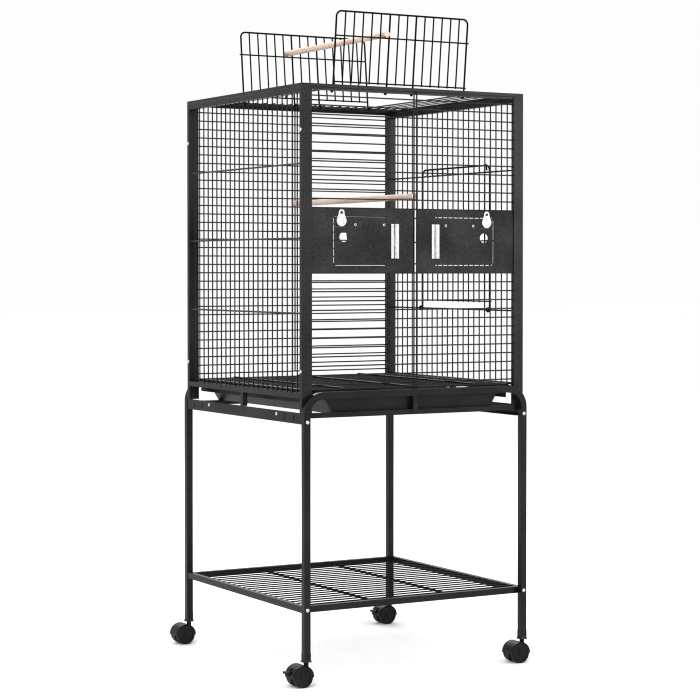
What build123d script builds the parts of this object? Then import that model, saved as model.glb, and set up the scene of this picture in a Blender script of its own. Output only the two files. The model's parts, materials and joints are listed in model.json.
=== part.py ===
from build123d import *
import math
import os

# Bird cage on a rolling stand. Millimetres, +Z up, front towards -Y.
# The origin is on the floor, under the middle of the cage.

# Cage
SIDE = 460.0            # width and depth over the corner posts
HALF = SIDE / 2
POST_X = 20.0           # post section along X
POST_Y = 8.0            # post section along Y
POST_BOTTOM = 469.7
PANEL_TOP = 1032.4      # top of the posts and wall panels
TOP_HEIGHT = 6.0        # height of the top panel's frame
RAIL = 10.0             # rails of the side panels and the top frame

# Wires
WIRE = 2.2
LONG_WIRE = 3.0         # the three long wires of a side panel
STILE = 2.4             # the two uprights in the middle of the front and rear panels
STILE_X = 2.8
LEVEL_PITCH = 16.15     # level wires, front and rear
LEVEL_START = 517.6
LEVEL_COUNT = 32
UPRIGHT_PITCH = 18.6    # upright wires of the side panels
UPRIGHTS = 11           # on each side of the middle one
LONG_HEIGHTS = (641.8, 771.7, 900.2)
SIDE_LOW = 494.8        # underside of the side panels
SIDE_BASE = 504.0       # top of their bottom rails and lips
WALL_LOW = 516.5        # foot of the rear panel's uprights
WALL_PLANE = 226.0      # axis of the front and rear level wires
SIDE_PLANE = 225.0      # axis of the side uprights

# Sheet plates with the feeder doors
PLATE = 1.0
PLATE_BOTTOM = 711.8
PLATE_TOP = 823.9
PLATE_BACK = WALL_PLANE + WIRE / 2
PLATE_FRONT = PLATE_BACK + PLATE
DOOR_BACK = PLATE_BACK + 0.3
PLATE_GAP = 4.0         # from the middle to each plate
FEEDER_IN = 42.2        # hinge edge of the opening, from the middle
FEEDER_OUT = 166.7
FEEDER_BOTTOM = 724.2
FEEDER_TOP = 810.8
FEEDER_GAP = 1.5
HINGE_GAP = 0.3
HINGE_Z = 767.4
HINGE_LENGTH = 61.0
LATCH_X = 151.0
LATCH_Z = 816.6
LATCH_DROP = 14.1       # from the latch's pivot to the middle of its lobe
TONGUE_HALF = 11.0      # tongue of the plate under the latch
TONGUE_Z = 791.6
TONGUE_GAP = 0.3
BRIDGE_HALF = 4.0       # joins the tongue to the plate, behind the latch's eye
HOLE_X = 145.8
HOLE_Z = 774.1
SCREW_Z = 795.9         # cup holder screws
CUP_X = 93.5
CUP_Y = 194.0

# Side door
DOOR_HALF = 119.3
DOOR_TOP = 913.5
DOOR_FOOT = 657.6
DOOR_BARS = 14
HINGE_SLACK = 0.3
DOOR_WIRE = 3.2
LOOP = LONG_WIRE / 2 + HINGE_SLACK + DOOR_WIRE / 2
DOOR_X = SIDE_PLANE + WIRE / 2 + LONG_WIRE / 2 + LOOP

# Top opening and flaps
FLAP_HINGE_Y = 170.0
FLAP_HINGE_Z = 1034.4
FLAP_WIRE = 3.0
FLAP_BAR = 2.4
BORDER = 3.0            # wires round the top opening
FLAP_HALF = 137.0
FLAP_LENGTH = 139.0
FLAP_MIDDLE = 96.0
FLAP_FOOT = 15.0
FLAP_BARS = 16
FLAP_LOOP = BORDER / 2 + HINGE_SLACK + FLAP_WIRE / 2
FLAP_OPEN = 96.0        # degrees from closed to the rest pose

# Perches
TOP_PERCH_D = 11.2
TOP_PERCH_X = -36.5
PERCH_D = 11.2

# Stand
TUBE = 12.0
ARCH_TOP = 506.0
BEND = 33.0             # centreline radius of the arch bends
LEG_X = 225.0
LOWER_TOP = 469.7
TRAY_REST = 466.0       # feet of the front and rear lower rails, which carry the tray
SHELF_TOP = 136.2
SHELF_BAR = 11.0

# Casters
WHEEL_R = 18.0
WHEEL_WIDTH = 12.2
WHEEL_MIDDLE = 10.9     # from the caster's middle plane to each wheel's
HOOD_R = 20.0
HOOD_WIDTH = 31.6
WEB = 8.4               # wall between the wheels, as thick as the stem
TRAIL = 13.0
STEM_D = 8.4
SOCKET_BOTTOM = 41.5
STEM_TOP = SOCKET_BOTTOM + 13.4

LEG_Y = HALF + TUBE / 2
PARTS = {}


def box(x0, x1, y0, y1, z0, z1):
    """A block between two corners."""
    middle = ((x0 + x1) / 2, (y0 + y1) / 2, (z0 + z1) / 2)
    return Pos(*middle) * Box(abs(x1 - x0), abs(y1 - y0), abs(z1 - z0))


def rod(start, end, diameter):
    """A round wire or rod from one point to another."""
    a = Vector(*start)
    b = Vector(*end)
    plane = Plane(origin=a, z_dir=b - a)
    length = (b - a).length
    return plane * Cylinder(diameter / 2, length, align=(Align.CENTER, Align.CENTER, Align.MIN))


def lying(x, y, z):
    """A plane at a point, facing along +Y."""
    return Plane(origin=(x, y, z), x_dir=(1, 0, 0), z_dir=(0, 1, 0))


def bent_wire(pieces, diameter):
    """One round wire bent along a chain of lines and arcs that run smoothly into each other."""
    edges = []
    for piece in pieces:
        edges.extend(piece.edges())
    path = Wire(edges)
    return sweep(Plane(origin=path @ 0, z_dir=path % 0) * Circle(diameter / 2), path=path)


def solids_of(items):
    """Every solid of a list of shapes."""
    found = []
    for item in items:
        found.extend(item.solids())
    return found


def keep(node, *items):
    """Hold a node's solids for writing."""
    PARTS[node] = Compound(children=solids_of(items))


def mirror_x(item):
    return mirror(item, about=Plane.YZ)


def mirror_y(item):
    return mirror(item, about=Plane.XZ)


# ---------------------------------------------------------------- stand

def arch():
    """One bent square tube in the plane y = 0: two legs and the rail between them."""
    rail_z = ARCH_TOP - TUBE / 2
    path = FilletPolyline(
        (-LEG_X, 0, SOCKET_BOTTOM + 16),
        (-LEG_X, 0, rail_z),
        (LEG_X, 0, rail_z),
        (LEG_X, 0, SOCKET_BOTTOM + 16),
        radius=BEND,
    )
    section = Plane(origin=(-LEG_X, 0, SOCKET_BOTTOM + 16), z_dir=(0, 0, 1))
    return sweep(section * RectangleRounded(TUBE, TUBE, 1.2), path=path)


def leg_socket(x, y):
    """The flared cap in a leg's foot, bored for the caster stem."""
    low = Plane(origin=(x, y, SOCKET_BOTTOM))
    high = Plane(origin=(x, y, SOCKET_BOTTOM + 4))
    flare = loft([low * RectangleRounded(15, 15, 1), high * RectangleRounded(TUBE, TUBE, 1)])
    sleeve = Pos(x, y, SOCKET_BOTTOM + 10) * Box(TUBE, TUBE, 12)
    bore = Pos(x, y, SOCKET_BOTTOM + 7) * Cylinder(STEM_D / 2 + 0.06, 14)
    return flare + sleeve - bore


def lower_side_rail():
    """Left lower rail: an angle with upright slots near its ends."""
    web = box(-HALF, -HALF + 2, -HALF, HALF, LOWER_TOP - 19, LOWER_TOP)
    foot = box(-HALF + 2, -HALF + 16, -HALF, HALF, LOWER_TOP - 19, LOWER_TOP - 17)
    for y in (-201, -166, 166, 201):
        web -= box(-HALF - 1, -HALF + 3, y - 1.5, y + 1.5, LOWER_TOP - 15, LOWER_TOP - 4)
    return web, foot


def lower_cross_rail(top):
    """Front lower rail, an angle between the webs of the side rails; its foot carries the tray."""
    end = HALF - 2
    web = box(-end, end, -HALF, -HALF + 2, top - 9, top)
    foot = box(-end, end, -HALF + 2, -HALF + 18, TRAY_REST - 2, TRAY_REST)
    return web, foot


def dome_bolt(point, axis):
    """The dome head of a bolt on a face."""
    plane = Plane(origin=Vector(*point), z_dir=Vector(*axis))
    return plane * (Pos(0, 0, -2.2) * Sphere(4.2) & Pos(0, 0, 1.5) * Cylinder(3.4, 3))


def stand():
    keep("front_leg_arch", Pos(0, -LEG_Y, 0) * arch())
    keep("rear_leg_arch", Pos(0, LEG_Y, 0) * arch())
    sockets = []
    for x in (-LEG_X, LEG_X):
        for y in (-LEG_Y, LEG_Y):
            sockets.append(leg_socket(x, y))
    keep("leg_sockets", *sockets)
    keep("left_lower_rail", *lower_side_rail())
    keep("right_lower_rail", *[mirror_x(item) for item in lower_side_rail()])
    keep("front_lower_rail", *lower_cross_rail(LOWER_TOP))
    keep("rear_lower_rail", *[mirror_y(item) for item in lower_cross_rail(TRAY_REST)])
    front_strut = box(-5, 5, -HALF, -HALF + RAIL, LOWER_TOP, ARCH_TOP)
    side_strut = box(-HALF, -HALF + 9, -5, 5, LOWER_TOP, SIDE_LOW)
    keep("middle_struts", front_strut, side_strut, mirror_x(side_strut))


def shelf():
    """Shelf frame and its wires."""
    low = SHELF_TOP - SHELF_BAR
    front = box(-HALF, HALF, -HALF, -HALF + RAIL, low, SHELF_TOP)
    left = box(-HALF, -HALF + RAIL, -HALF + RAIL, HALF - RAIL, low, SHELF_TOP)
    keep("shelf_frame", front, mirror_y(front), left, mirror_x(left))
    inner = HALF - RAIL
    wires = []
    top = SHELF_TOP - WIRE / 2
    for i in range(-10, 11):
        wires.append(rod((-inner, i * 20.9, top), (inner, i * 20.9, top), WIRE))
    under = top - WIRE / 2 - 2.0
    for x in (-78.5, 78.5):
        wires.append(rod((x, -inner, under), (x, inner, under), 4.0))
    keep("shelf_wires", *wires)


# ---------------------------------------------------------------- cage walls

def posts():
    """The two posts of the left side panel."""
    front = box(-HALF, -HALF + POST_X, -HALF, -HALF + POST_Y, POST_BOTTOM, PANEL_TOP)
    return front, mirror_y(front)


def side_rails():
    """Rails of the left side panel, the sill wire, and the lip with the floor grate's runner."""
    end = HALF - POST_Y
    top = box(-HALF, -HALF + RAIL, -end, end, PANEL_TOP - RAIL, PANEL_TOP)
    bottom = box(-HALF, -HALF + RAIL, -end, end, SIDE_LOW, SIDE_BASE)
    lip = box(-HALF + RAIL, -HALF + 26, -end, end, SIDE_BASE - 2, SIDE_BASE)
    runner = rod((-206, -end, SIDE_BASE + 1.1), (-206, end, SIDE_BASE + 1.1), 2.2)
    inner_x = -SIDE_PLANE + WIRE / 2 + 2.5
    sill = rod((inner_x, -end, 508.3), (inner_x, end, 508.3), 5.0)
    return top, bottom, lip, runner, sill


def side_uprights(cut):
    """Upright wires of the left side panel; cut leaves the door opening free."""
    wires = []
    low = SIDE_BASE
    high = PANEL_TOP - RAIL
    for k in range(-UPRIGHTS, UPRIGHTS + 1):
        y = k * UPRIGHT_PITCH
        if cut and abs(k) < 6:
            wires.append(rod((-SIDE_PLANE, y, low), (-SIDE_PLANE, y, LONG_HEIGHTS[0]), WIRE))
            wires.append(rod((-SIDE_PLANE, y, LONG_HEIGHTS[2]), (-SIDE_PLANE, y, high), WIRE))
        else:
            wires.append(rod((-SIDE_PLANE, y, low), (-SIDE_PLANE, y, high), WIRE))
    return wires


def side_long_wires(cut):
    """The three long wires outside the uprights."""
    x = -SIDE_PLANE - WIRE / 2 - LONG_WIRE / 2
    end = HALF - POST_Y
    wires = []
    for i, z in enumerate(LONG_HEIGHTS):
        if cut and i == 1:
            edge = 6 * UPRIGHT_PITCH + WIRE / 2
            wires.append(rod((x, -end, z), (x, -edge, z), LONG_WIRE))
            wires.append(rod((x, edge, z), (x, end, z), LONG_WIRE))
        else:
            wires.append(rod((x, -end, z), (x, end, z), LONG_WIRE))
    return wires


def wall_bar():
    """Top bar of the front panel, notched for the two middle uprights."""
    end = HALF - POST_X
    reach = STILE_X + STILE / 2
    bar = box(-end, end, -HALF + 1, -HALF + 7, PANEL_TOP - 4, PANEL_TOP)
    return bar - box(-reach, reach, -HALF - 1, -PLATE_BACK, PANEL_TOP - 5, PANEL_TOP + 1)


def level_wires(skip, foot):
    """Level wires of the front panel and the two middle uprights in front of them."""
    end = HALF - POST_X
    wires = []
    for i in range(LEVEL_COUNT):
        if i in skip:
            continue
        z = LEVEL_START + i * LEVEL_PITCH
        wires.append(rod((-end, -WALL_PLANE, z), (end, -WALL_PLANE, z), WIRE))
    y = -PLATE_BACK - STILE / 2
    for x in (-STILE_X, STILE_X):
        wires.append(rod((x, y, foot), (x, y, PANEL_TOP), STILE))
    return wires


def walls():
    front_post, rear_post = posts()
    keep("left_side_panel", front_post, rear_post, *side_rails(),
         *side_uprights(False), *side_long_wires(False))
    right = [front_post, rear_post, *side_rails(), *side_uprights(True), *side_long_wires(True)]
    keep("right_side_panel", *[mirror_x(item) for item in right])
    keep("front_panel", wall_bar(), *level_wires((14, 15, 16, 17), ARCH_TOP))
    rear = [wall_bar(), *level_wires((), WALL_LOW)]
    keep("rear_panel", *[mirror_y(item) for item in rear])


def top_panel():
    """Frame, wires and the wire border of the opening."""
    z0 = PANEL_TOP
    z1 = PANEL_TOP + TOP_HEIGHT
    front = box(-HALF, HALF, -HALF, -HALF + RAIL, z0, z1)
    left = box(-HALF, -HALF + RAIL, -HALF + RAIL, HALF - RAIL, z0, z1)
    items = [front, mirror_y(front), left, mirror_x(left)]
    inner = HALF - RAIL
    border_z = FLAP_HINGE_Z + BORDER
    border_x = FLAP_HALF + 4.5
    for y in (-FLAP_HINGE_Y, FLAP_HINGE_Y):
        items.append(rod((-inner, y, FLAP_HINGE_Z), (inner, y, FLAP_HINGE_Z), BORDER))
    for x in (-border_x, border_x):
        items.append(rod((x, -inner, border_z), (x, inner, border_z), BORDER))
    wire_z = FLAP_HINGE_Z + BORDER / 2 + WIRE / 2
    for i in range(1, 5):
        x = border_x + i * 18.27
        items.append(rod((x, -inner, wire_z), (x, inner, wire_z), WIRE))
        items.append(rod((-x, -inner, wire_z), (-x, inner, wire_z), WIRE))
    for i in range(FLAP_BARS - 1):
        x = -FLAP_HALF + (i + 0.5) * 2 * FLAP_HALF / (FLAP_BARS - 1)
        for side in (-1, 1):
            start = (x, side * inner, wire_z)
            items.append(rod(start, (x, side * (FLAP_HINGE_Y - 1.5), wire_z), WIRE))
    return items


def bolts():
    panel = []
    for x in (-1, 1):
        for y in (-1, 1):
            for z in (541.6, 958.2):
                panel.append(dome_bolt((x * HALF, y * (HALF - 4), z), (x, 0, 0)))
    keep("panel_bolts", *panel)
    feet = []
    for x in (-LEG_X, LEG_X):
        for y in (-1, 1):
            for z in (454.7, 130.9):
                point = (x, y * (HALF + TUBE), z)
                feet.append(dome_bolt(point, (0, y, 0)))
    for x in (-1, 1):
        for y in (-136, 136):
            feet.append(dome_bolt((x * HALF, y, 463.8), (x, 0, 0)))
    keep("stand_bolts", *feet)


# ---------------------------------------------------------------- feeder doors

def free_end_panel(outer, inner, low, high, radius, back, thick):
    """A flat sheet whose two corners away from the hinge are rounded."""
    middle = (-(outer + inner) / 2, back, (low + high) / 2)
    face = Plane(origin=middle, x_dir=(1, 0, 0), z_dir=(0, -1, 0))
    sheet = extrude(face * RectangleRounded(outer - inner, high - low, radius), thick)
    return sheet + box(-inner - 30, -inner, back - thick, back, low, high)


def door_blank(back, thick):
    """The feeder door's full outline, tongue included."""
    return free_end_panel(FEEDER_OUT - FEEDER_GAP, FEEDER_IN + HINGE_GAP,
                          FEEDER_BOTTOM + FEEDER_GAP, FEEDER_TOP - FEEDER_GAP, 4.5, back, thick)


def tongue_corner(gap):
    """The block that holds the upper outer corner of the door's outline."""
    return box(-FEEDER_OUT, -LATCH_X + TONGUE_HALF + gap, -PLATE_FRONT - 1, -PLATE_BACK + 1,
               TONGUE_Z - gap, FEEDER_TOP)


def feeder_plate():
    """The left sheet plate with the feeder opening and the tongue under the latch."""
    end = HALF - POST_X
    sheet = box(-end, -PLATE_GAP, -PLATE_FRONT, -PLATE_BACK, PLATE_BOTTOM, PLATE_TOP)
    sheet -= free_end_panel(FEEDER_OUT, FEEDER_IN, FEEDER_BOTTOM, FEEDER_TOP, 6,
                            -PLATE_BACK + 1, PLATE + 2)
    tongue = door_blank(-PLATE_BACK, PLATE) & tongue_corner(0)
    bridge = box(-LATCH_X - BRIDGE_HALF, -LATCH_X + BRIDGE_HALF, -PLATE_FRONT, -PLATE_BACK,
                 FEEDER_TOP - FEEDER_GAP - 1, FEEDER_TOP + 1)
    return sheet + tongue + bridge


def feeder_door():
    """The left feeder door: rounded free end, a cut-out at the tongue and a finger hole."""
    door = door_blank(-DOOR_BACK, PLATE_FRONT - DOOR_BACK) - tongue_corner(TONGUE_GAP)
    return door - lying(-HOLE_X, -PLATE_BACK, HOLE_Z) * Cylinder(8.8, 6)


def hinge_knuckle(z0, z1):
    y = -PLATE_FRONT - 1.6
    barrel = Pos(-FEEDER_IN, y, (z0 + z1) / 2) * Cylinder(1.6, z1 - z0)
    bore = Pos(-FEEDER_IN, y, (z0 + z1) / 2) * Cylinder(0.85, z1 - z0 + 2)
    return barrel, bore


def hinge_leaves():
    """Left hinge: the leaf on the plate, the leaf on the door, and the pin."""
    low = HINGE_Z - HINGE_LENGTH / 2
    third = HINGE_LENGTH / 3
    y0 = -PLATE_FRONT - 1.0
    y1 = -PLATE_FRONT
    fixed = box(-FEEDER_IN, -FEEDER_IN + 8, y0, y1, low, low + 3 * third)
    fixed -= box(-FEEDER_IN - 1, -FEEDER_IN + 2.0, y0 - 1, y1 + 1,
                 low + third - 0.2, low + 2 * third + 0.2)
    moving = box(-FEEDER_IN - 8, -FEEDER_IN, y0, y1, low, low + 3 * third)
    for start in (low - 1, low + 2 * third - 0.2):
        moving -= box(-FEEDER_IN - 2.0, -FEEDER_IN + 1, y0 - 1, y1 + 1,
                      start, start + third + 1.2)
    barrel_a, bore_a = hinge_knuckle(low, low + third)
    barrel_b, bore_b = hinge_knuckle(low + 2 * third, low + 3 * third)
    barrel_c, bore_c = hinge_knuckle(low + third + 0.2, low + 2 * third - 0.2)
    fixed = fixed + barrel_a + barrel_b - bore_a - bore_b
    moving = moving + barrel_c - bore_c
    pin = Pos(-FEEDER_IN, -PLATE_FRONT - 1.6, HINGE_Z) * Cylinder(0.8, HINGE_LENGTH + 1)
    return fixed, moving, pin


def latch():
    """Left drop-shaped latch, hanging from its rivet in front of the plate's tongue."""
    face = Plane(origin=(-LATCH_X, -PLATE_FRONT - 0.4, LATCH_Z), x_dir=(1, 0, 0), z_dir=(0, -1, 0))
    eye = Circle(6.0)
    lobe = Pos(0, -LATCH_DROP) * Circle(10)
    waist = Polygon((-5.0, 1.0), (-8.6, -9.0), (8.6, -9.0), (5.0, 1.0), align=None)
    plate = extrude(face * (eye + lobe + waist), 1.2, dir=(0, -1, 0))
    return plate - extrude(face * Circle(1.58), 2, dir=(0, -1, 0))


def dome_rivet(x, z, base, shank, head):
    """A dome-headed rivet on the front; the head sits base in front of the plates."""
    face = Plane(origin=(x, -PLATE_FRONT, z), x_dir=(1, 0, 0), z_dir=(0, -1, 0))
    rivet = Pos(0, 0, base - head * 0.6) * Sphere(head * 0.85)
    rivet &= Pos(0, 0, base + head / 2) * Cylinder(head / 2, head)
    return face * (rivet + Pos(0, 0, base / 2 + 0.1) * Cylinder(shank / 2, base + 0.2))


def latch_rivets():
    """The two rivets the latches hang on, fixed in the plates."""
    left = dome_rivet(-LATCH_X, LATCH_Z, 1.9, 3.0, 4.6)
    return left, mirror_x(left)


def door_screws():
    """Left door: the two screws of the cup holder."""
    return [dome_rivet(x, SCREW_Z, 0, 2.0, 5.2) for x in (-122.6, -64.4)]


def cup_holder():
    """Left cup holder: a strap on the back of the door and a hoop for the cup."""
    back = -DOOR_BACK
    z = SCREW_Z
    strap = box(-126, -61, back, back + 1.2, z - 5, z + 5)
    hoop = Pos(-CUP_X, -CUP_Y, z - 1) * (Cylinder(29.2, 2.4) - Cylinder(27.0, 3))
    arms = box(-CUP_X - 7, -CUP_X - 3, back + 1, -CUP_Y - 27.4, z - 2.2, z + 0.2)
    arms += box(-CUP_X + 3, -CUP_X + 7, back + 1, -CUP_Y - 27.4, z - 2.2, z + 0.2)
    return strap + hoop + arms


def cup():
    """Left feed cup: a tapered cup whose rim hangs on the hoop."""
    top = SCREW_Z + 4
    low = Plane(origin=(-CUP_X, -CUP_Y, top - 46))
    high = Plane(origin=(-CUP_X, -CUP_Y, top))
    outside = loft([low * Circle(21.0), high * Circle(26.4)])
    inside = loft([low.offset(2) * Circle(19.5), high.offset(0.01) * Circle(25.0)])
    rim = Pos(-CUP_X, -CUP_Y, top - 1.8) * (Cylinder(29.0, 3.6) - Cylinder(25.6, 5))
    return outside - inside + rim


def feeders():
    fixed, moving, pin = hinge_leaves()
    for side in ("left", "right"):
        turn = (lambda item: item) if side == "left" else mirror_x
        keep("front_plate_" + side, turn(feeder_plate()))
        keep("feeder_door_" + side, turn(feeder_door()))
        keep("hinge_plate_leaf_" + side, turn(fixed))
        keep("hinge_door_leaf_" + side, turn(moving))
        keep("feeder_latch_" + side, turn(latch()))
        keep("cup_screws_" + side, *[turn(item) for item in door_screws()])
        keep("cup_holder_" + side, turn(cup_holder()))
        keep("feed_cup_" + side, turn(cup()))
    keep("hinge_pins", pin, mirror_x(pin))
    keep("latch_rivets", *latch_rivets())


# ---------------------------------------------------------------- side door

def side_door():
    """Wire door outside the right side panel, looped round the lowest long wire."""
    low = LONG_HEIGHTS[0]
    chain = [FilletPolyline(
        (DOOR_X, -DOOR_HALF, low),
        (DOOR_X, -DOOR_HALF, DOOR_TOP),
        (DOOR_X, DOOR_HALF, DOOR_TOP),
        (DOOR_X, DOOR_HALF, low),
        radius=12.0,
    )]
    for y in (-DOOR_HALF, DOOR_HALF):
        plane = Plane(origin=(DOOR_X - LOOP, y, low), x_dir=(1, 0, 0), z_dir=(0, -1, 0))
        chain.append(plane * CenterArc((0, 0), LOOP, 0, -300))
    items = [bent_wire(chain, DOOR_WIRE)]
    out = DOOR_X + DOOR_WIRE / 2 + WIRE / 2
    for z in (DOOR_FOOT, LONG_HEIGHTS[1]):
        items.append(rod((out, -DOOR_HALF - 1, z), (out, DOOR_HALF + 1, z), WIRE))
    pitch = 2 * DOOR_HALF / (DOOR_BARS - 1)
    for i in range(1, DOOR_BARS - 1):
        y = -DOOR_HALF + i * pitch
        bar = (DOOR_X + (DOOR_WIRE - WIRE) / 2, y)
        items.append(rod((*bar, DOOR_FOOT - 2), (*bar, DOOR_TOP - DOOR_WIRE / 2), WIRE))
    return items


def door_hook():
    """A small catch that turns on the door's top wire, with a finger tab."""
    y = -104.8
    sleeve = Cylinder(DOOR_WIRE / 2 + 1.2, 3.6) - Cylinder(DOOR_WIRE / 2 + 0.06, 5)
    out = DOOR_X + DOOR_WIRE / 2
    plate = box(out + 0.2, out + 1.2, y - 1.8, y + 1.8, DOOR_TOP - 9, DOOR_TOP)
    tab = box(out + 1.2, out + 4.5, y - 1.8, y + 1.8, DOOR_TOP - 9, DOOR_TOP - 8)
    return lying(DOOR_X, y, DOOR_TOP) * sleeve + plate + tab


# ---------------------------------------------------------------- top flaps and perches

def flap_loop(x):
    """The end of a flap's wire, bent round the hinge wire."""
    plane = Plane(origin=(x, -FLAP_HINGE_Y, FLAP_HINGE_Z), x_dir=(0, 1, 0), z_dir=(1, 0, 0))
    return plane * CenterArc((0, 0), FLAP_LOOP, 90, 300)


def flap():
    """Front flap: drawn closed over the opening, then turned up to its open pose."""
    y = -FLAP_HINGE_Y
    z = FLAP_HINGE_Z + FLAP_LOOP
    end = y + FLAP_LENGTH
    half = FLAP_HALF
    frame = FilletPolyline((-half, y, z), (-half, end, z), (half, end, z), (half, y, z), radius=10.0)
    hinged = [bent_wire([frame, flap_loop(-half), flap_loop(half)], FLAP_WIRE)]
    wires = []
    pitch = 2 * half / (FLAP_BARS - 1)
    for i in range(1, FLAP_BARS - 1):
        x = -half + i * pitch
        stop = end - FLAP_WIRE / 2
        if i in (6, 9):
            hinged.append(bent_wire([Line((x, stop, z), (x, y, z)), flap_loop(x)], FLAP_WIRE))
        else:
            wires.append(rod((x, y + FLAP_FOOT - 2, z), (x, stop, z), FLAP_BAR))
    over = z + FLAP_WIRE / 2 + FLAP_BAR / 2
    for distance, reach in ((FLAP_FOOT, half + 1.5), (FLAP_MIDDLE, half + 2.5)):
        wires.append(rod((-reach, y + distance, over), (reach, y + distance, over), FLAP_BAR))
    hinge = Axis((0, y, FLAP_HINGE_Z), (1, 0, 0))
    return [[item.rotate(hinge, FLAP_OPEN) for item in group] for group in (hinged, wires)]


def flap_wire_top():
    """Height of the upper side of a flap's middle wire in the open pose."""
    turn = math.radians(FLAP_OPEN)
    across = FLAP_LOOP + FLAP_WIRE / 2 + FLAP_BAR / 2
    return FLAP_HINGE_Z + FLAP_MIDDLE * math.sin(turn) + across * math.cos(turn) + FLAP_BAR / 2


def top_perch():
    """Dowel resting on the middle wires of both open flaps."""
    z = flap_wire_top() + TOP_PERCH_D / 2 + 0.1
    dowel = rod((TOP_PERCH_X, -193.0, z), (TOP_PERCH_X, 191.0, z), TOP_PERCH_D)
    return chamfer(dowel.edges().filter_by(GeomType.CIRCLE), 0.8)


def inner_perch():
    """Dowel whose ends lie on a level wire of the front and rear panels, behind the uprights."""
    z = LEVEL_START + 20 * LEVEL_PITCH + WIRE / 2 + PERCH_D / 2
    dowel = rod((0, -226.8, z), (0, 226.8, z), PERCH_D)
    return chamfer(dowel.edges().filter_by(GeomType.CIRCLE), 0.8)


# ---------------------------------------------------------------- floor

def floor_grate():
    """Wire grate that slides on the runners of the side panels; three bars stiffen it."""
    reach_x = 206.0
    reach_y = 217.0
    z = SIDE_BASE + 2.2 + 0.1 + 1.5
    items = []
    for side in (-1, 1):
        items.append(rod((side * reach_x, -reach_y, z), (side * reach_x, reach_y, z), 3.0))
        y = side * (reach_y - 1.5)
        items.append(rod((-reach_x + 1.5, y, z), (reach_x - 1.5, y, z), 3.0))
    for i in range(-13, 14):
        y = i * 15.8
        items.append(rod((-reach_x + 1.5, y, z - 0.4), (reach_x - 1.5, y, z - 0.4), WIRE))
    stiff_z = z - 0.4 + WIRE / 2 + 1.5
    for x in (-138, 0, 138):
        items.append(rod((x, -reach_y + 3, stiff_z), (x, reach_y - 3, stiff_z), 3.0))
    return items


def tray():
    """Folded tray: sloped side walls with turned-down flanges, upright end walls."""
    low = TRAY_REST + 0.1
    top = 492.4
    front = -219.5
    rear = 232.0
    outline = [(-200, top - 8.3), (-200, top), (-178, top), (-162.2, low + 1.2), (162.2, low + 1.2),
               (178, top), (200, top), (200, top - 8.3), (198.8, top - 8.3), (198.8, top - 1.2),
               (178.9, top - 1.2), (163.2, low), (-163.2, low), (-178.9, top - 1.2),
               (-198.8, top - 1.2), (-198.8, top - 8.3)]
    section = Plane(origin=(0, front, 0), x_dir=(1, 0, 0), z_dir=(0, -1, 0))
    floor = extrude(section * Polygon(*outline, align=None), rear - front, dir=(0, 1, 0))
    end_wall = [(-178.5, top), (178.5, top), (163.2, low), (-163.2, low)]
    wall = Polygon(*end_wall, align=None)
    near = extrude(section * wall, 1.2, dir=(0, 1, 0))
    return floor + near + Pos(0, rear - front - 1.2, 0) * near


# ---------------------------------------------------------------- casters

def caster_hood(x, y, braked):
    """Hood of one caster with its swivel stem; the wheels turn about Y behind the stem."""
    xa = x - TRAIL
    z = WHEEL_R
    plane = lying(xa, y, z)
    shell = plane * (Cylinder(HOOD_R, HOOD_WIDTH) - Cylinder(HOOD_R - 1.2, HOOD_WIDTH + 2))
    shell -= box(xa - 30, xa + 30, y - 20, y + 20, z - 30, z - 1)
    web = plane * Cylinder(HOOD_R - 0.6, WEB)
    web -= box(xa - 30, xa + 30, y - 20, y + 20, z - 30, z - 8)
    stem = Pos(x, y, (z + 12 + STEM_TOP) / 2) * Cylinder(STEM_D / 2, STEM_TOP - z - 12)
    hood = shell + web + stem - plane * Cylinder(1.9, WEB + 2)
    if braked:
        hood -= box(xa - 25, xa - 6, y - 2.2, y + 2.2, z + 2, z + 14)
        hood += lying(xa - 9.5, y, z + 8.5) * Cylinder(1.0, WEB - 1)
    return hood


def caster_wheels(x, y):
    """The pair of wheels of one caster."""
    wheels = []
    for side in (-1, 1):
        middle = y + side * WHEEL_MIDDLE
        disc = lying(x - TRAIL, middle, WHEEL_R) * Cylinder(WHEEL_R, WHEEL_WIDTH)
        disc = fillet(disc.edges().filter_by(GeomType.CIRCLE), 2.0)
        outer = lying(x - TRAIL, middle + side * WHEEL_WIDTH / 2, WHEEL_R)
        disc -= outer * (Cylinder(13.5, 2.4) - Cylinder(5.0, 3.0))
        disc -= lying(x - TRAIL, middle - side * 4, WHEEL_R) * Cylinder(1.96, WHEEL_WIDTH)
        wheels.append(disc)
    return wheels


def caster_brake(x, y):
    """Brake lever: a pedal outside the hood on a tongue that turns on a cross pin."""
    xa = x - TRAIL
    z = WHEEL_R + 8.5
    pedal = box(xa - 29.5, xa - 21.5, y - 7, y + 7, z - 1.6, z + 1.6)
    pedal = fillet(pedal.edges().filter_by(Axis.Z), 1.5)
    tongue = box(xa - 22.5, xa - 9.5, y - 1.8, y + 1.8, z - 1.6, z + 1.6)
    barrel = lying(xa - 9.5, y, z) * Cylinder(2.4, 3.6)
    return pedal + tongue + barrel - lying(xa - 9.5, y, z) * Cylinder(1.05, 5)


def casters():
    corners = (
        ("front_left", -1, -1, True),
        ("front_right", 1, -1, False),
        ("rear_left", -1, 1, False),
        ("rear_right", 1, 1, True),
    )
    for name, sx, sy, braked in corners:
        x = sx * LEG_X
        y = sy * LEG_Y
        axle = lying(x - TRAIL, y, WHEEL_R) * Cylinder(1.9, 2 * WHEEL_MIDDLE + 3)
        keep("caster_hood_" + name, caster_hood(x, y, braked))
        keep("caster_wheels_" + name, *caster_wheels(x, y))
        keep("caster_axle_" + name, axle)
        if braked:
            keep("caster_brake_" + name, caster_brake(x, y))


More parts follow.
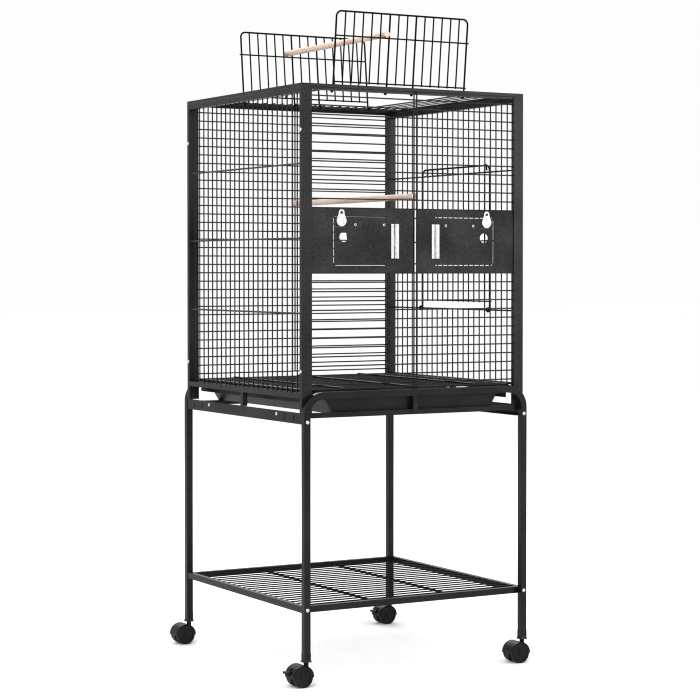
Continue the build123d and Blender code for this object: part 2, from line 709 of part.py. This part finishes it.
stand()
shelf()
walls()
keep("top_panel", *top_panel())
bolts()
feeders()
keep("side_door", *side_door())
keep("side_door_hook", door_hook())
flap_frame, flap_wires = flap()
keep("top_flap_frame_front", *flap_frame)
keep("top_flap_wires_front", *flap_wires)
keep("top_flap_frame_rear", *[mirror_y(item) for item in flap_frame])
keep("top_flap_wires_rear", *[mirror_y(item) for item in flap_wires])
keep("top_perch", top_perch())
keep("inner_perch", inner_perch())
keep("floor_grate", *floor_grate())
keep("tray", tray())
casters()

os.makedirs("parts", exist_ok=True)
for node, shape in PARTS.items():
    export_step(shape, "parts/" + node + ".step")
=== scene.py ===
import json
import math

import bpy
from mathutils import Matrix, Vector


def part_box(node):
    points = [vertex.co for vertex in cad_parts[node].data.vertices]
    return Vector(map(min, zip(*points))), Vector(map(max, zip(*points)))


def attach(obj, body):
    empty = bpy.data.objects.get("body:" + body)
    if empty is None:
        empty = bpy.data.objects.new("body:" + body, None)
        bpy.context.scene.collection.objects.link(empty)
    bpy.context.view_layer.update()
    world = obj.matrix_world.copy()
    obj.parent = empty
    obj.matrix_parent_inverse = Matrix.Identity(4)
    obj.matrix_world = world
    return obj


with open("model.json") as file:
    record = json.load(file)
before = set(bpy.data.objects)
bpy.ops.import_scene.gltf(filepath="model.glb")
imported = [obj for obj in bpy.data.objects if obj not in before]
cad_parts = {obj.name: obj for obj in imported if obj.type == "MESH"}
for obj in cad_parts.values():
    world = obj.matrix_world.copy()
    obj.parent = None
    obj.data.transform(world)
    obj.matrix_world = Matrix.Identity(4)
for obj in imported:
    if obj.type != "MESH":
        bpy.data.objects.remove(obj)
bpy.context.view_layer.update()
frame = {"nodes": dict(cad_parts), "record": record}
nodes = frame["nodes"]

CAMERA_PLACE = (-1.895, -3.309, 0.7165)
CAMERA_TURN = 29.76         # degrees from +Y towards +X
CAMERA_PITCH = 1.0          # degrees below level
CAMERA_LENS = 104.7         # on a 36 mm sensor
CAMERA_SHIFT_Y = -0.0634
DISPLAY_GAMMA = 0.68        # contrast of the finished picture
PIXEL_FILTER = 1.2
FLOOR_SIZE = 60
FLOOR_GLOW = 0.09           # lets the floor run into the white behind it
SKY_STRENGTH = 0.99
RECESS_LONG = 0.0013        # half length and half width of a screw's cross recess
RECESS_WIDE = 0.0003


# ---------------------------------------------------------------- materials

class Shader:
    """A node material built step by step."""

    def __init__(self, name):
        self.mat = bpy.data.materials.new(name)
        self.mat.use_nodes = True
        self.nt = self.mat.node_tree
        self.bsdf = self.nt.nodes["Principled BSDF"]
        coords = self.nt.nodes.new("ShaderNodeTexCoord")
        self.at = coords.outputs["Object"]

    def node(self, kind, **sockets):
        made = self.nt.nodes.new(kind)
        for key, value in sockets.items():
            socket = made.inputs[key.replace("_", " ")]
            if isinstance(value, bpy.types.NodeSocket):
                self.nt.links.new(value, socket)
            else:
                socket.default_value = value
        return made

    def stretch(self, x, y, z):
        made = self.node("ShaderNodeMapping", Vector=self.at)
        made.inputs["Scale"].default_value = (x, y, z)
        return made.outputs[0]

    def noise(self, scale, detail=3.0, vector=None, rough=0.5):
        made = self.node("ShaderNodeTexNoise", Vector=vector or self.at)
        made.inputs["Scale"].default_value = scale
        made.inputs["Detail"].default_value = detail
        made.inputs["Roughness"].default_value = rough
        return made.outputs["Fac"]

    def span(self, value, low, high, a=0.35, b=0.65):
        made = self.node("ShaderNodeMapRange", Value=value)
        made.inputs["From Min"].default_value = a
        made.inputs["From Max"].default_value = b
        made.inputs["To Min"].default_value = low
        made.inputs["To Max"].default_value = high
        return made.outputs[0]

    def ramp(self, value, *stops):
        made = self.node("ShaderNodeValToRGB", Fac=value)
        ramp = made.color_ramp
        while len(ramp.elements) < len(stops):
            ramp.elements.new(0.5)
        for element, (place, colour) in zip(ramp.elements, stops):
            element.position = place
            element.color = (*colour, 1)
        return made.outputs[0]

    def bump(self, height, strength, distance, round_edge=0.0):
        made = self.node("ShaderNodeBump", Height=height)
        if round_edge:
            edge = self.node("ShaderNodeBevel", Radius=round_edge)
            self.nt.links.new(edge.outputs[0], made.inputs["Normal"])
        made.inputs["Strength"].default_value = strength
        made.inputs["Distance"].default_value = distance
        self.nt.links.new(made.outputs[0], self.bsdf.inputs["Normal"])

    def put(self, key, value):
        if isinstance(value, bpy.types.NodeSocket):
            self.nt.links.new(value, self.bsdf.inputs[key])
        else:
            self.bsdf.inputs[key].default_value = value


def grey(v):
    return (v, v, v * 1.01)


def powder_coat(name, dark, light, rough, grain, bump, shine=0.35, round_edge=0.0):
    """Textured powder coat: fine orange peel, slightly lighter specks, uneven sheen."""
    s = Shader(name)
    speck = s.noise(grain, 3.0, None, 0.65)
    cloud = s.noise(14.0, 4.0)
    mixed = s.node("ShaderNodeMath", Value=speck)
    mixed.operation = "MULTIPLY_ADD"
    mixed.inputs[1].default_value = 0.8
    s.nt.links.new(s.span(cloud, 0.0, 0.2), mixed.inputs[2])
    s.put("Base Color", s.ramp(mixed.outputs[0], (0.36, grey(dark)), (0.5, grey((dark + light) / 2)),
                               (0.64, grey(light))))
    s.put("Roughness", s.span(speck, rough - 0.06, rough + 0.1))
    s.put("Specular IOR Level", shine)
    s.bump(s.noise(grain * 1.6, 2.0), bump, 0.0004, round_edge)
    return s.mat


def bright_steel(name, brushed_along, tint):
    """Zinc-plated steel with faint brushing."""
    s = Shader(name)
    scale = {"x": (60, 2200, 2200), "z": (2200, 2200, 60)}[brushed_along]
    brush = s.noise(1.0, 2.0, s.stretch(*scale))
    cloud = s.noise(180.0, 3.0)
    s.put("Metallic", 1.0)
    s.put("Base Color", s.ramp(cloud, (0.3, (tint * 0.86,) * 3), (0.7, (tint, tint, tint * 0.985))))
    s.put("Roughness", s.span(brush, 0.34, 0.52))
    s.bump(brush, 0.12, 0.0002)
    return s.mat


def wood(name, seed_shift):
    """Pale dowel wood with its grain along Y, small pores and end grain."""
    s = Shader(name)
    shifted = s.node("ShaderNodeMapping", Vector=s.at)
    shifted.inputs["Scale"].default_value = (260, 7, 260)
    shifted.inputs["Location"].default_value = (seed_shift, seed_shift * 0.7, 0)
    grain = s.noise(1.0, 5.0, shifted.outputs[0], 0.6)
    pores = s.node("ShaderNodeMapping", Vector=s.at)
    pores.inputs["Scale"].default_value = (1500, 70, 1500)
    pore = s.noise(1.0, 1.0, pores.outputs[0])
    cloud = s.noise(9.0, 3.0)
    mix = s.node("ShaderNodeMath", Value=grain)
    mix.operation = "MULTIPLY_ADD"
    mix.inputs[1].default_value = 0.8
    s.nt.links.new(s.span(cloud, 0.0, 0.2), mix.inputs[2])
    s.put("Base Color", s.ramp(mix.outputs[0], (0.3, (0.56, 0.45, 0.38)), (0.5, (0.70, 0.58, 0.50)),
                               (0.72, (0.80, 0.69, 0.61))))
    s.put("Roughness", s.span(pore, 0.5, 0.68))
    s.bump(pore, 0.25, 0.0003)
    return s.mat


def plastic(name, dark, light, rough, grain=900.0, bump=0.15):
    """Moulded plastic with a fine spark-eroded grain."""
    s = Shader(name)
    fine = s.noise(grain, 2.0)
    cloud = s.noise(40.0, 3.0)
    s.put("Base Color", s.ramp(cloud, (0.3, grey(dark)), (0.7, grey(light))))
    s.put("Roughness", s.span(fine, rough - 0.07, rough + 0.07))
    s.put("Specular IOR Level", 0.3)
    s.bump(fine, bump, 0.0002)
    return s.mat


FRAME_COAT = powder_coat("frame_coat", 0.020, 0.042, 0.24, 620.0, 0.14, 0.5, 0.0008)
# A darker copy of the frame coat: painted shade on the legs, lower rails and shelf, which wear the
# same coat as the cage
SHADED_STAND_COAT = powder_coat("stand_coat_painted_shade", 0.014, 0.032, 0.24, 620.0, 0.14, 0.45, 0.0008)
WIRE_COAT = powder_coat("wire_coat", 0.004, 0.011, 0.4, 900.0, 0.2, 0.2)
TRAY_COAT = powder_coat("tray_coat", 0.032, 0.05, 0.34, 500.0, 0.1, 0.35, 0.0006)
PLATE_COAT = powder_coat("plate_coat", 0.024, 0.072, 0.5, 330.0, 0.6, 0.4)
STEEL_Z = bright_steel("bright_steel_upright", "z", 0.66)
STEEL_X = bright_steel("bright_steel_round", "x", 0.7)
DARK_STEEL = bright_steel("dark_steel", "x", 0.12)
WOOD_A = wood("perch_wood_top", 0.0)
WOOD_B = wood("perch_wood_inside", 3.7)
CASTER = plastic("caster_plastic", 0.022, 0.038, 0.32)
WHEEL = plastic("wheel_plastic", 0.024, 0.04, 0.45, 1200.0, 0.25)
CUP = plastic("cup_plastic", 0.012, 0.02, 0.4, 1400.0, 0.1)


def material_for(node, slot):
    """The finish of a CAD node, from its name or else its material slot."""
    if node == "latch_rivets":
        return DARK_STEEL
    if node == "floor_grate":
        return FRAME_COAT
    # Legs, lower rails and shelf take the darker copy of the frame coat, which is painted shade
    if slot == "frame_coat" and ("leg" in node or "lower" in node or "shelf" in node):
        return SHADED_STAND_COAT
    if slot == "bright_steel":
        return STEEL_Z if node.startswith(("hinge", "feeder_latch")) else STEEL_X
    if node.startswith(("front_plate", "feeder_door")):
        return PLATE_COAT
    if node == "top_perch":
        return WOOD_A
    return {
        "frame_coat": FRAME_COAT, "wire_coat": WIRE_COAT, "tray_coat": TRAY_COAT,
        "perch_wood": WOOD_B, "cup_plastic": CUP, "caster_plastic": CASTER,
        "wheel_plastic": WHEEL,
    }[slot]


slots = {s["node"]: s["material_slot"] for s in frame["record"]["subparts"]}
for node, obj in nodes.items():
    obj.data.materials.clear()
    obj.data.materials.append(material_for(node, slots[node]))


# ---------------------------------------------------------------- small details

BLOCK_FACES = (
    (0, 1, 3, 2), (4, 6, 7, 5), (0, 4, 5, 1), (2, 3, 7, 6), (0, 2, 6, 4), (1, 5, 7, 3),
)


def piece(name, mesh, material, body):
    """Links a mesh as a piece of the object that moves with a CAD body."""
    obj = bpy.data.objects.new(name, mesh)
    bpy.context.scene.collection.objects.link(obj)
    mesh.materials.append(material)
    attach(obj, body)
    return obj


def blocks(name, corners, material, body):
    """Small axis-aligned blocks, each given by its lowest and highest corner."""
    points = []
    faces = []
    for low, high in corners:
        base = len(points)
        for x in (low[0], high[0]):
            for y in (low[1], high[1]):
                for z in (low[2], high[2]):
                    points.append((x, y, z))
        for face in BLOCK_FACES:
            faces.append([base + i for i in face])
    mesh = bpy.data.meshes.new(name)
    mesh.from_pydata(points, [], faces)
    return piece(name, mesh, material, body)


def painted_recess_shades(side):
    """A dark cross on the head of each cup-holder screw: painted shade standing in for its cross
    recess.
    """
    low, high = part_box("cup_screws_" + side)
    radius = (high[2] - low[2]) / 2
    z = (low[2] + high[2]) / 2
    y = low[1]
    corners = []
    for x in (low[0] + radius, high[0] - radius):
        for dx, dz in ((RECESS_LONG, RECESS_WIDE), (RECESS_WIDE, RECESS_LONG)):
            corners.append(((x - dx, y - 0.00008, z - dz), (x + dx, y + 0.0006, z + dz)))
    # The dark steel blocks are painted shade for the hollow of the recess
    blocks("screw_recess_shade_" + side, corners, DARK_STEEL, BODY_OF["cup_screws_" + side])


BODY_OF = {}
for body, members in frame["record"]["behaviour"]["bodies"].items():
    for node in members:
        BODY_OF[node] = body
for side in ("left", "right"):
    painted_recess_shades(side)


# ---------------------------------------------------------------- stage, light, camera

def make_stage():
    """A pale floor that fades into an even white surround."""
    bpy.ops.mesh.primitive_plane_add(size=FLOOR_SIZE, location=(0, 0, 0))
    floor = bpy.context.object
    floor.name = "floor"
    s = Shader("floor_paper")
    cloud = s.noise(0.4, 2.0)
    s.put("Base Color", s.ramp(cloud, (0.3, (0.91, 0.91, 0.91)), (0.7, (0.925, 0.925, 0.925))))
    s.put("Roughness", 1.0)
    s.put("Specular IOR Level", 0.0)
    s.put("Emission Color", (1, 1, 1, 1))
    s.put("Emission Strength", FLOOR_GLOW)
    floor.data.materials.append(s.mat)
    world = bpy.data.worlds.new("studio")
    bpy.context.scene.world = world
    world.use_nodes = True
    sky = world.node_tree.nodes["Background"]
    sky.inputs["Color"].default_value = (1, 1, 1, 1)
    sky.inputs["Strength"].default_value = SKY_STRENGTH


def area_light(name, place, target, size, power):
    """A soft rectangular lamp aimed at a point."""
    data = bpy.data.lights.new(name, "AREA")
    data.shape = "RECTANGLE"
    data.size, data.size_y = size
    data.energy = power
    lamp = bpy.data.objects.new(name, data)
    bpy.context.scene.collection.objects.link(lamp)
    lamp.location = place
    lamp.rotation_mode = "QUATERNION"
    lamp.rotation_quaternion = (Vector(target) - Vector(place)).to_track_quat("-Z", "Y")


def make_camera():
    """The camera at the photograph's angle."""
    turn = math.radians(CAMERA_TURN)
    pitch = math.radians(CAMERA_PITCH)
    data = bpy.data.cameras.new("photo_camera")
    camera = bpy.data.objects.new("photo_camera", data)
    bpy.context.scene.collection.objects.link(camera)
    camera.location = CAMERA_PLACE
    data.sensor_width = 36.0
    data.lens = CAMERA_LENS
    data.shift_y = CAMERA_SHIFT_Y
    data.clip_start, data.clip_end = 0.1, 200
    level = math.cos(pitch)
    look = Vector((math.sin(turn) * level, math.cos(turn) * level, -math.sin(pitch)))
    camera.rotation_mode = "QUATERNION"
    camera.rotation_quaternion = look.to_track_quat("-Z", "Y")
    bpy.context.scene.camera = camera


make_stage()
area_light("key", (-2.6, -2.4, 3.4), (0, 0, 0.7), (2.2, 2.2), 90)
area_light("fill", (2.8, -3.2, 1.8), (0, 0, 0.7), (2.4, 2.4), 35)
area_light("rim", (0.6, 3.0, 2.6), (0, 0, 0.9), (2.4, 1.6), 40)
make_camera()
bpy.context.scene.view_settings.view_transform = "Standard"
bpy.context.scene.view_settings.look = "None"
bpy.context.scene.view_settings.gamma = DISPLAY_GAMMA
bpy.context.scene.cycles.filter_width = PIXEL_FILTER
